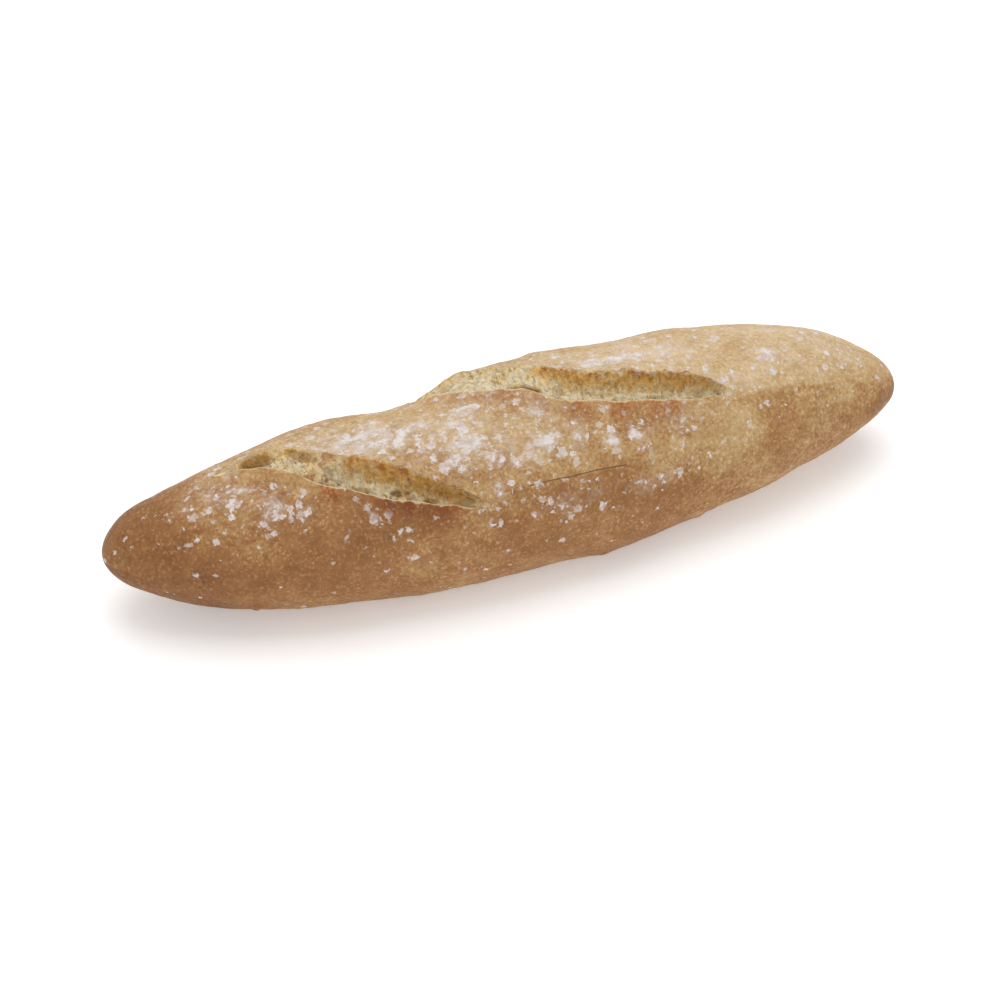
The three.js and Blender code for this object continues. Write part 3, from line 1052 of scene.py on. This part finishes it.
@dataclass
class Bench:
    """Adds nodes to one node tree and links them up."""

    tree: bpy.types.NodeTree

    def add(self, kind: str, inputs: dict[str | int, Any] | None = None, **settings: Any) -> Any:
        """Adds a node.

        Args:
            kind: the node's type.
            inputs: for each input socket, a value to set or an output socket to link.
            settings: the node's own settings.

        Returns:
            The node.
        """
        node = self.tree.nodes.new(kind)
        for name, value in settings.items():
            setattr(node, name, value)
        for name, value in (inputs or {}).items():
            if isinstance(value, bpy.types.NodeSocket):
                self.tree.links.new(value, node.inputs[name])
            else:
                node.inputs[name].default_value = value
        return node

    def trait(self, trait: Trait) -> Any:
        """Returns the output that reads a trait from the mesh."""
        return self.add("ShaderNodeAttribute", attribute_name=trait.value).outputs["Fac"]

    def place(self) -> Any:
        """Returns the output that gives the place on the object, in metres."""
        return self.add("ShaderNodeTexCoord").outputs["Object"]

    def maths(self, way: str, a: Any, b: Any, clamp: bool = False) -> Any:
        """Returns the result of one sum on two numbers or outputs."""
        return self.add("ShaderNodeMath", {0: a, 1: b}, operation=way, use_clamp=clamp).outputs[0]

    def plus(self, *values: Any) -> Any:
        """Returns the sum of all values."""
        return functools.reduce(lambda a, b: self.maths("ADD", a, b), values)

    def times(self, *values: Any) -> Any:
        """Returns the product of all values."""
        return functools.reduce(lambda a, b: self.maths("MULTIPLY", a, b), values)

    def most(self, *values: Any) -> Any:
        """Returns the largest of all values."""
        return functools.reduce(lambda a, b: self.maths("MAXIMUM", a, b), values)

    def between(self, share: Any, low: float, high: float) -> Any:
        """Returns the number a share of the way from low to high."""
        return self.add(
            "ShaderNodeMath", {0: share, 1: high - low, 2: low}, operation="MULTIPLY_ADD"
        ).outputs[0]

    def rise(self, value: Any, low: float, high: float, to_low: float = 0.0, to_high: float = 1.0) -> Any:
        """Returns an output that goes smoothly from to_low to to_high as value goes from low to high."""
        return self.add(
            "ShaderNodeMapRange",
            {"Value": value, "From Min": low, "From Max": high, "To Min": to_low, "To Max": to_high},
            interpolation_type="SMOOTHSTEP",
        ).outputs["Result"]

    def noise(self, place: Any, size_mm: float, detail: float = 2.0, roughness: float = 0.5) -> Any:
        """Returns a noise of this size, from 0 to 1 and mostly near a half."""
        return self.add(
            "ShaderNodeTexNoise",
            {"Vector": place, "Scale": 1 / (size_mm * MM), "Detail": detail, "Roughness": roughness},
        ).outputs["Fac"]

    def waver(
        self, place: Any, size_mm: float, height: float, detail: float = 2.0, roughness: float = 0.5
    ) -> Any:
        """Returns a noise of this size around nought, at most half of its height either way."""
        return self.times(self.maths("SUBTRACT", self.noise(place, size_mm, detail, roughness), 0.5), height)

    def cells(self, place: Any, size_mm: float) -> tuple[Any, Any]:
        """Splits space into cells of this size.

        Args:
            place: the output with the place.
            size_mm: how far apart the cells lie, in mm.

        Returns:
            The output with the distance from the cell's middle, as a share of size, and three outputs
            with random numbers of the cell.
        """
        cells = self.add("ShaderNodeTexVoronoi", {"Vector": place, "Scale": 1 / (size_mm * MM)})
        draw = self.add("ShaderNodeSeparateColor", {0: cells.outputs["Color"]})
        return cells.outputs["Distance"], draw.outputs

    def mix(self, share: Any, a: Any, b: Any, way: str = "MIX") -> Any:
        """Returns a colour mixed from a and b."""
        return self.add(
            "ShaderNodeMix", {0: share, 6: a, 7: b}, data_type="RGBA", blend_type=way
        ).outputs[2]

    def ramp(self, value: Any, stops: tuple[float, ...], colours: tuple[Colour, ...]) -> Any:
        """Returns the colour that value picks from a row of colours that stand at these stops."""
        node = self.add("ShaderNodeValToRGB", {0: value})
        for stop in stops[1:-1]:
            node.color_ramp.elements.new(stop)
        for element, stop, colour in zip(node.color_ramp.elements, stops, colours, strict=True):
            element.position = stop
            element.color = colour
        return node.outputs["Color"]

    def squeeze(self, place: Any, by: tuple[float, float, float]) -> Any:
        """Returns the place scaled by a factor on each axis, which stretches a noise where it is under 1."""
        return self.add("ShaderNodeVectorMath", {0: place, 1: by}, operation="MULTIPLY").outputs[0]

    def jitter(self, place: Any, size_mm: float, by_mm: float) -> Any:
        """Returns the place moved about at random, so that what is drawn there gets an uneven outline."""
        drift = self.add(
            "ShaderNodeTexNoise", {"Vector": place, "Scale": 1 / (size_mm * MM), "Detail": 2.0}
        ).outputs["Color"]
        centred = self.add("ShaderNodeVectorMath", {0: drift, 1: (0.5, 0.5, 0.5)}, operation="SUBTRACT")
        scaled = self.add(
            "ShaderNodeVectorMath", {0: centred.outputs[0], "Scale": by_mm * MM}, operation="SCALE"
        )
        return self.add("ShaderNodeVectorMath", {0: place, 1: scaled.outputs[0]}).outputs[0]


def node_group(name: str, inputs: dict[str, str], outputs: dict[str, str]) -> tuple[Any, Bench, Any]:
    """Makes an empty node group.

    Args:
        name: the group's name.
        inputs: the kind of each input socket, by its name.
        outputs: the kind of each output socket, by its name.

    Returns:
        The group, a bench for it and the outputs of its input node.
    """
    tree = bpy.data.node_groups.new(name, "ShaderNodeTree")
    for socket, kind in inputs.items():
        tree.interface.new_socket(socket, in_out="INPUT", socket_type=kind)
    for socket, kind in outputs.items():
        tree.interface.new_socket(socket, in_out="OUTPUT", socket_type=kind)
    bench = Bench(tree)
    return tree, bench, bench.add("NodeGroupInput").outputs


@dataclass(frozen=True)
class Grains:
    """Grains of flour of one kind, more of them where the flour is thicker."""

    size_mm: float  # how far apart they can lie
    bare_share: float  # the share of places with a grain where there is no flour
    full_share: float  # and where it is thickest
    smallest: float  # the radius of the smallest, as a share of size
    largest: float
    drift: tuple[float, float] = (0.5, 0.7)  # the size and the amount by which outlines are moved about
    chewed: tuple[float, float] = (0.28, 0.9)  # and by which their edges are eaten away
    edge: Rise = (-0.07, 0.12)
    solid: Rise = (0.0, 0.8, 0.5, 1.0)

    def draw(self, bench: Bench, place: Any, thick: Any) -> Any:
        """Draws the grains.

        Args:
            bench: the bench of the group.
            place: the output with the place.
            thick: the output with the flour's thickness.

        Returns:
            The output with their mask.
        """
        size = self.size_mm
        drift_size, drift = self.drift
        chewed_size, chewed = self.chewed
        distance, draw = bench.cells(bench.jitter(place, drift_size * size, drift * size), size)
        chance = bench.between(thick, self.bare_share, self.full_share)
        there = bench.maths("LESS_THAN", draw[0], chance)
        reach = bench.between(bench.times(draw[1], draw[1]), self.smallest, self.largest)
        eaten = bench.waver(place, chewed_size * size, chewed, 3.0)
        edge = bench.maths("SUBTRACT", bench.plus(reach, eaten), distance)
        return bench.times(bench.rise(edge, *self.edge), there, bench.rise(draw[2], *self.solid))


@dataclass(frozen=True)
class FlourFinish:
    """Flour on a crust: dots, torn flakes, wisps and a thin veil, all thicker where there is more of it."""

    grains: tuple[Grains, ...] = (
        Grains(1.7, 0.03, 0.4, 0.15, 0.42),
        Grains(2.7, -0.02, 1.3, 0.18, 0.6),
        Grains(4.6, -0.14, 0.9, 0.15, 0.5),
    )
    lengthways: tuple[float, float, float] = (0.7, 1.0, 1.0)
    wisp: Grain = (4.2, 5.0, 0.68)
    wisp_drift: tuple[float, float] = (1.6, 0.9)
    wisp_by_thickness: float = 0.42
    wisps_show: Rise = (0.77, 0.93)
    veil_by_thickness: float = 0.2
    veil_shows: Rise = (0.68, 1.15, 0.0, 0.3)
    wear: Grain = (1.5, 4.0, 0.7)
    wear_drift: tuple[float, float] = (1.0, 0.8)
    wear_shows: Rise = (0.38, 0.5, 0.5, 1.0)
    tone: Grain = (2.4, 4.0, 0.6)
    tone_shows: Rise = (0.35, 0.6)
    colour: Colour = srgb(224, 215, 212)
    shade: Colour = srgb(204, 190, 182)

    def group(self) -> bpy.types.NodeTree:
        """Builds the node group that turns a thickness of flour into its mask and its colour.

        Returns:
            The node group.
        """
        tree, bench, given = node_group(
            "flour_dust",
            {"Place": "NodeSocketVector", "Thickness": "NodeSocketFloat"},
            {"Mask": "NodeSocketFloat", "Colour": "NodeSocketColor"},
        )
        place, thick = given["Place"], given["Thickness"]
        loose = bench.most(*(grains.draw(bench, place, thick) for grains in self.grains))
        lengthways = bench.squeeze(place, self.lengthways)
        ragged = bench.noise(bench.jitter(lengthways, *self.wisp_drift), *self.wisp)
        level = bench.plus(ragged, bench.times(thick, self.wisp_by_thickness))
        wisps = bench.rise(level, *self.wisps_show)
        veil = bench.rise(bench.plus(level, bench.times(thick, self.veil_by_thickness)), *self.veil_shows)
        wear = bench.noise(bench.jitter(lengthways, *self.wear_drift), *self.wear)
        worn = bench.rise(wear, *self.wear_shows)
        tone = bench.rise(bench.noise(place, *self.tone), *self.tone_shows)
        bench.add(
            "NodeGroupOutput",
            {
                "Mask": bench.maths("MULTIPLY", bench.most(loose, wisps, veil), worn, clamp=True),
                "Colour": bench.mix(tone, self.shade, self.colour),
            },
        )
        return tree


@dataclass(frozen=True)
class CrumbFinish:
    """Torn crumb: pale yellow by the lip, golden to brown towards the far edge, with painted shade in its
    pores and hollows.
    """

    pale: Colour = srgb(215, 200, 167)
    straw: Colour = srgb(212, 184, 130)
    golden: Colour = srgb(203, 155, 84)
    brown: Colour = srgb(170, 112, 52)
    # the colour of the painted shade in the crumb's pores and hollows
    pore: Colour = srgb(148, 110, 62)
    stops: tuple[float, ...] = (0.05, 0.35, 0.68, 1.0)
    crosswise: tuple[float, float, float] = (1.0, 0.45, 0.45)
    patches: Waver = (4.0, 1.3, 5.0, 0.65)
    pleats: Waver = (1.5, 1.0, 3.0)
    pores: Grain = (1.0, 3.0, 0.6)
    pores_show: Rise = (0.5, 0.66)
    pore_patches: Grain = (3.4, 3.0)
    pore_patches_show: Rise = (0.42, 0.6)
    # how strongly the noise's pores are darkened with painted shade
    pore_shade_strength: float = 0.7
    pore_shade_shows: Rise = (0.25, 1.0, 0.0, 0.85)
    grain: Grain = (1.3, 3.0, 0.6)
    grain_shows: Rise = (0.36, 0.64, 0.84, 1.14)
    bumps: Grain = (0.8, 3.0)
    pore_bumps: float = 0.6

    def group(self) -> bpy.types.NodeTree:
        """Builds the node group that colours the crumb.

        Returns:
            The node group.
        """
        tree, bench, given = node_group(
            "torn_crumb",
            {"Place": "NodeSocketVector", "Toast": "NodeSocketFloat", "PoreShade": "NodeSocketFloat"},
            {"Colour": "NodeSocketColor", "Height": "NodeSocketFloat"},
        )
        place = given["Place"]
        crosswise = bench.squeeze(place, self.crosswise)
        patches = bench.waver(place, *self.patches)
        pleats = bench.waver(crosswise, *self.pleats)
        colours = (self.pale, self.straw, self.golden, self.brown)
        colour = bench.ramp(bench.plus(given["Toast"], patches, pleats), self.stops, colours)
        # painted shade: the pores of a noise and the pore shade from the mesh darken the colour
        pores = bench.rise(bench.noise(crosswise, *self.pores), *self.pores_show)
        some = bench.rise(bench.noise(place, *self.pore_patches), *self.pore_patches_show)
        pore_shade = bench.rise(given["PoreShade"], *self.pore_shade_shows)
        colour = bench.mix(bench.most(bench.times(pores, some, self.pore_shade_strength), pore_shade), colour, self.pore)
        grain = bench.rise(bench.noise(place, *self.grain), *self.grain_shows)
        height = bench.maths(
            "SUBTRACT", bench.noise(place, *self.bumps), bench.times(pores, self.pore_bumps)
        )
        bench.add("NodeGroupOutput", {"Colour": bench.mix(1.0, colour, grain, "MULTIPLY"), "Height": height})
        return tree


@dataclass(frozen=True)
class CrustFinish:
    """The crust: golden to brown, speckled with fine blisters, with a redder painted shade under the lips,
    cracked and floured.
    """

    pale: Colour = srgb(208, 183, 148)
    golden: Colour = srgb(185, 153, 106)
    amber: Colour = srgb(167, 125, 79)
    brown: Colour = srgb(147, 100, 55)
    dark: Colour = srgb(119, 74, 36)
    # the painted shade under the lips, multiplied in as a darker, redder tint
    red: Colour = srgb(244, 208, 184)
    # the painted highlight along the crest of a near lip
    rim_highlight: Colour = srgb(224, 198, 150)
    speck: Colour = srgb(138, 114, 80)
    crack: Colour = srgb(104, 60, 30)
    flour: FlourFinish = FlourFinish()
    crumb: CrumbFinish = CrumbFinish()
    stops: tuple[float, ...] = (0.0, 0.28, 0.52, 0.74, 1.0)
    broad_mottle: Waver = (6.0, 0.6, 5.0, 0.65)
    close_mottle: Waver = (1.3, 0.5, 2.0, 0.6)
    livelier: Rise = (0.2, 0.42, 1.1, 1.7)  # the mottle's strength as the crust gets golden
    calmer: Rise = (0.5, 0.74, 1.0, 0.45)  # and as it gets brown
    # how much browner the painted shade under the lips makes the crust
    lip_shade_toast: float = 0.08
    blister_mm: float = 1.5
    blister_drift: tuple[float, float] = (0.9, 0.7)
    blister_dot: Rise = (0.4, 0.2)
    blisters_show: Rise = (0.25, 1.0)
    flecks: Grain = (1.0, 2.0, 0.6)
    flecks_show: Rise = (0.5, 0.74)
    specks: float = 0.5
    specks_show: Rise = (0.62, 0.86, 1.4, 0.9)
    crack_edge: Rise = (0.34, 0.1)
    crack_strength: float = 0.8
    frayed: Waver = (1.8, 3.2, 4.0, 0.65)
    crumb_edge: Rise = (-0.4, 0.9)
    crumb_toast: Rise = (0.1, 1.3, 0.3, 1.0)
    rim_highlight_wander: Waver = (1.9, 1.8, 3.0)
    rim_highlight_edge: Rise = (0.5, 0.1)
    rim_highlight_strength: float = 0.65
    flour_on_crumb: Rise = (0.6, 0.0, 0.25, 1.0)
    flour_on_lip_shade: Rise = (0.2, 0.6, 1.0, 0.35)
    bumps: Grain = (1.3, 3.0, 0.55)
    bumps_on_crumb: Rise = (0.0, 1.0, 1.0, 0.3)
    crumb_bumps: float = 1.6
    flour_bumps: float = 0.3
    bump_strength: float = 0.7
    bump_mm: float = 0.4
    roughness: Rise = (0.0, 1.0, 0.6, 0.95)  # of the bare and of the floured crust
    crumb_roughness: float = 0.9
    specular: float = 0.3

    def skin(self, bench: Bench, place: Any) -> Any:
        """Colours the bare crust.

        Args:
            bench: the material's bench.
            place: the output with the place.

        Returns:
            The output with its colour.
        """
        red, baked = bench.trait(Trait.RED), bench.trait(Trait.TOAST)
        mottle = bench.plus(bench.waver(place, *self.broad_mottle), bench.waver(place, *self.close_mottle))
        mottle = bench.times(mottle, bench.rise(baked, *self.livelier), bench.rise(baked, *self.calmer))
        toast = bench.plus(baked, bench.times(red, self.lip_shade_toast), mottle)
        colours = (self.pale, self.golden, self.amber, self.brown, self.dark)
        colour = bench.ramp(toast, self.stops, colours)
        distance, draw = bench.cells(bench.jitter(place, *self.blister_drift), self.blister_mm)
        dots = bench.times(bench.rise(distance, *self.blister_dot), bench.rise(draw[0], *self.blisters_show))
        flecks = bench.rise(bench.noise(place, *self.flecks), *self.flecks_show)
        specks = bench.times(bench.most(dots, flecks), self.specks, bench.rise(baked, *self.specks_show))
        colour = bench.mix(specks, colour, self.speck, "ADD")
        # painted shade under the lips: a darker, redder tint multiplied in
        colour = bench.mix(red, colour, bench.mix(1.0, colour, self.red, "MULTIPLY"))
        line = bench.times(bench.rise(bench.trait(Trait.CREASE), *self.crack_edge), self.crack_strength)
        return bench.mix(line, colour, self.crack)

    def material(self) -> bpy.types.Material:
        """Builds the material of the whole loaf.

        Returns:
            The material.
        """
        material = bpy.data.materials.new("floury_crust")
        material.use_nodes = True
        material.node_tree.nodes.clear()
        bench = Bench(material.node_tree)
        place = bench.place()
        depth = bench.plus(bench.trait(Trait.INSIDE), bench.waver(place, *self.frayed))
        torn = bench.rise(depth, *self.crumb_edge)
        flour = bench.add(
            "ShaderNodeGroup",
            {"Place": place, "Thickness": bench.trait(Trait.FLOUR)},
            node_tree=self.flour.group(),
        )
        crumb = bench.add(
            "ShaderNodeGroup",
            {
                "Place": place,
                "Toast": bench.times(bench.trait(Trait.TOAST), bench.rise(depth, *self.crumb_toast)),
                "PoreShade": bench.trait(Trait.PORE_SHADE),
            },
            node_tree=self.crumb.group(),
        )
        # painted highlight along the crests of the near lips
        from_rim_highlight = bench.plus(bench.trait(Trait.RIM_HIGHLIGHT), bench.waver(place, *self.rim_highlight_wander))
        rim_highlight = bench.times(bench.rise(from_rim_highlight, *self.rim_highlight_edge), self.rim_highlight_strength)
        floury = bench.times(
            flour.outputs["Mask"],
            bench.rise(torn, *self.flour_on_crumb),
            bench.rise(bench.trait(Trait.RED), *self.flour_on_lip_shade),
        )
        colour = bench.mix(torn, self.skin(bench, place), crumb.outputs["Colour"])
        colour = bench.mix(rim_highlight, colour, self.rim_highlight)
        colour = bench.mix(floury, colour, flour.outputs["Colour"])
        height = bench.plus(
            bench.times(bench.noise(place, *self.bumps), bench.rise(torn, *self.bumps_on_crumb)),
            bench.times(crumb.outputs["Height"], torn, self.crumb_bumps),
            bench.times(floury, self.flour_bumps),
        )
        rough = bench.most(bench.rise(floury, *self.roughness), bench.times(torn, self.crumb_roughness))
        bump = bench.add(
            "ShaderNodeBump",
            {"Height": height, "Strength": self.bump_strength, "Distance": self.bump_mm * MM},
        )
        shader = bench.add(
            "ShaderNodeBsdfPrincipled",
            {
                "Base Color": colour,
                "Roughness": rough,
                "Normal": bump.outputs["Normal"],
                "Specular IOR Level": self.specular,
            },
        )
        bench.add("ShaderNodeOutputMaterial", {"Surface": shader.outputs["BSDF"]})
        return material


@dataclass(frozen=True)
class Softbox:
    """A square lamp that faces the loaf, in metres and watts."""

    name: str
    place: tuple[float, float, float]
    size: float
    power: float

    def hang(self) -> None:
        """Hangs it in its place."""
        lamp = bpy.data.lights.new(self.name, "AREA")
        lamp.shape = "SQUARE"
        lamp.size = self.size
        lamp.energy = self.power
        light = bpy.data.objects.new(self.name, lamp)
        light.location = self.place
        light.rotation_euler = (-Vector(self.place)).to_track_quat("-Z", "Y").to_euler()
        bpy.context.collection.objects.link(light)


@dataclass(frozen=True)
class Studio:
    """A pale floor, soft lights and the camera, in metres and degrees."""

    floor_half: float = 3.0
    floor_gap: float = 0.0002
    floor_colour: Colour = srgb(247, 247, 247)
    floor_roughness: float = 0.9
    floor_glow: float = 0.25
    white: Colour = (1.0, 1.0, 1.0, 1.0)
    world: float = 0.62
    softboxes: tuple[Softbox, ...] = (
        Softbox("top_softbox", (0.15, 0.35, 1.25), 1.3, 10.0),
        Softbox("front_softbox", (-0.5, -1.3, 0.9), 0.9, 2.5),
    )
    azimuth: float = -22.828
    elevation: float = 42.0
    distance: float = 0.75072
    lens: float = 85.0
    sensor: float = 36.0
    nearest: float = 0.01
    aim_x: float = -0.00453
    aim_y: float = 0.00065
    aim_up: float = 0.00555

    def build(self) -> None:
        """Sets up the floor, the lights and the camera."""
        self.lay_floor()
        self.light_room()
        self.place_camera()
        bpy.context.scene.view_settings.view_transform = "Standard"

    def lay_floor(self) -> None:
        """Makes the floor, just under the loaf's foot."""
        bm = bmesh.new()
        bmesh.ops.create_grid(bm, x_segments=1, y_segments=1, size=self.floor_half)
        bmesh.ops.translate(bm, verts=bm.verts, vec=(0, 0, -self.floor_gap))
        floor = settle(bm, "pale_floor")
        material = bpy.data.materials.new("pale_floor")
        material.use_nodes = True
        for socket, value in (
            ("Base Color", self.floor_colour),
            ("Roughness", self.floor_roughness),
            ("Specular IOR Level", 0.0),
            ("Emission Color", self.white),
            ("Emission Strength", self.floor_glow),
        ):
            material.node_tree.nodes["Principled BSDF"].inputs[socket].default_value = value
        floor.data.materials.append(material)

    def light_room(self) -> None:
        """Makes an even white room with a large soft light over the loaf and a weaker one before it."""
        world = bpy.data.worlds.new("white_room")
        world.use_nodes = True
        world.node_tree.nodes["Background"].inputs["Color"].default_value = self.white
        world.node_tree.nodes["Background"].inputs["Strength"].default_value = self.world
        bpy.context.scene.world = world
        for softbox in self.softboxes:
            softbox.hang()

    def place_camera(self) -> None:
        """Puts the camera where the photo was taken from."""
        a, e = math.radians(self.azimuth), math.radians(self.elevation)
        back = Vector((math.sin(a) * math.cos(e), -math.cos(a) * math.cos(e), math.sin(e)))
        right = Vector((math.cos(a), math.sin(a), 0))
        up = back.cross(right)
        lens = bpy.data.cameras.new("camera")
        lens.lens = self.lens
        lens.sensor_width = self.sensor
        lens.clip_start = self.nearest
        camera = bpy.data.objects.new("camera", lens)
        camera.location = Vector((self.aim_x, self.aim_y, 0)) + up * self.aim_up + back * self.distance
        camera.rotation_euler = (-back).to_track_quat("-Z", "Y").to_euler()
        bpy.context.collection.objects.link(camera)
        bpy.context.scene.camera = camera


def main() -> None:
    """Builds the loaf and its surroundings."""
    logging.basicConfig(level=logging.INFO)
    baker = Loaf()
    loaf = baker.build()
    baker.dress(loaf, CrustFinish())
    log.info("loaf: %d faces, %d flour patches", len(loaf.data.polygons), len(baker.flour))
    Studio().build()
    log.info("studio: floor, lights and camera")


if __name__ == "__main__":
    main()
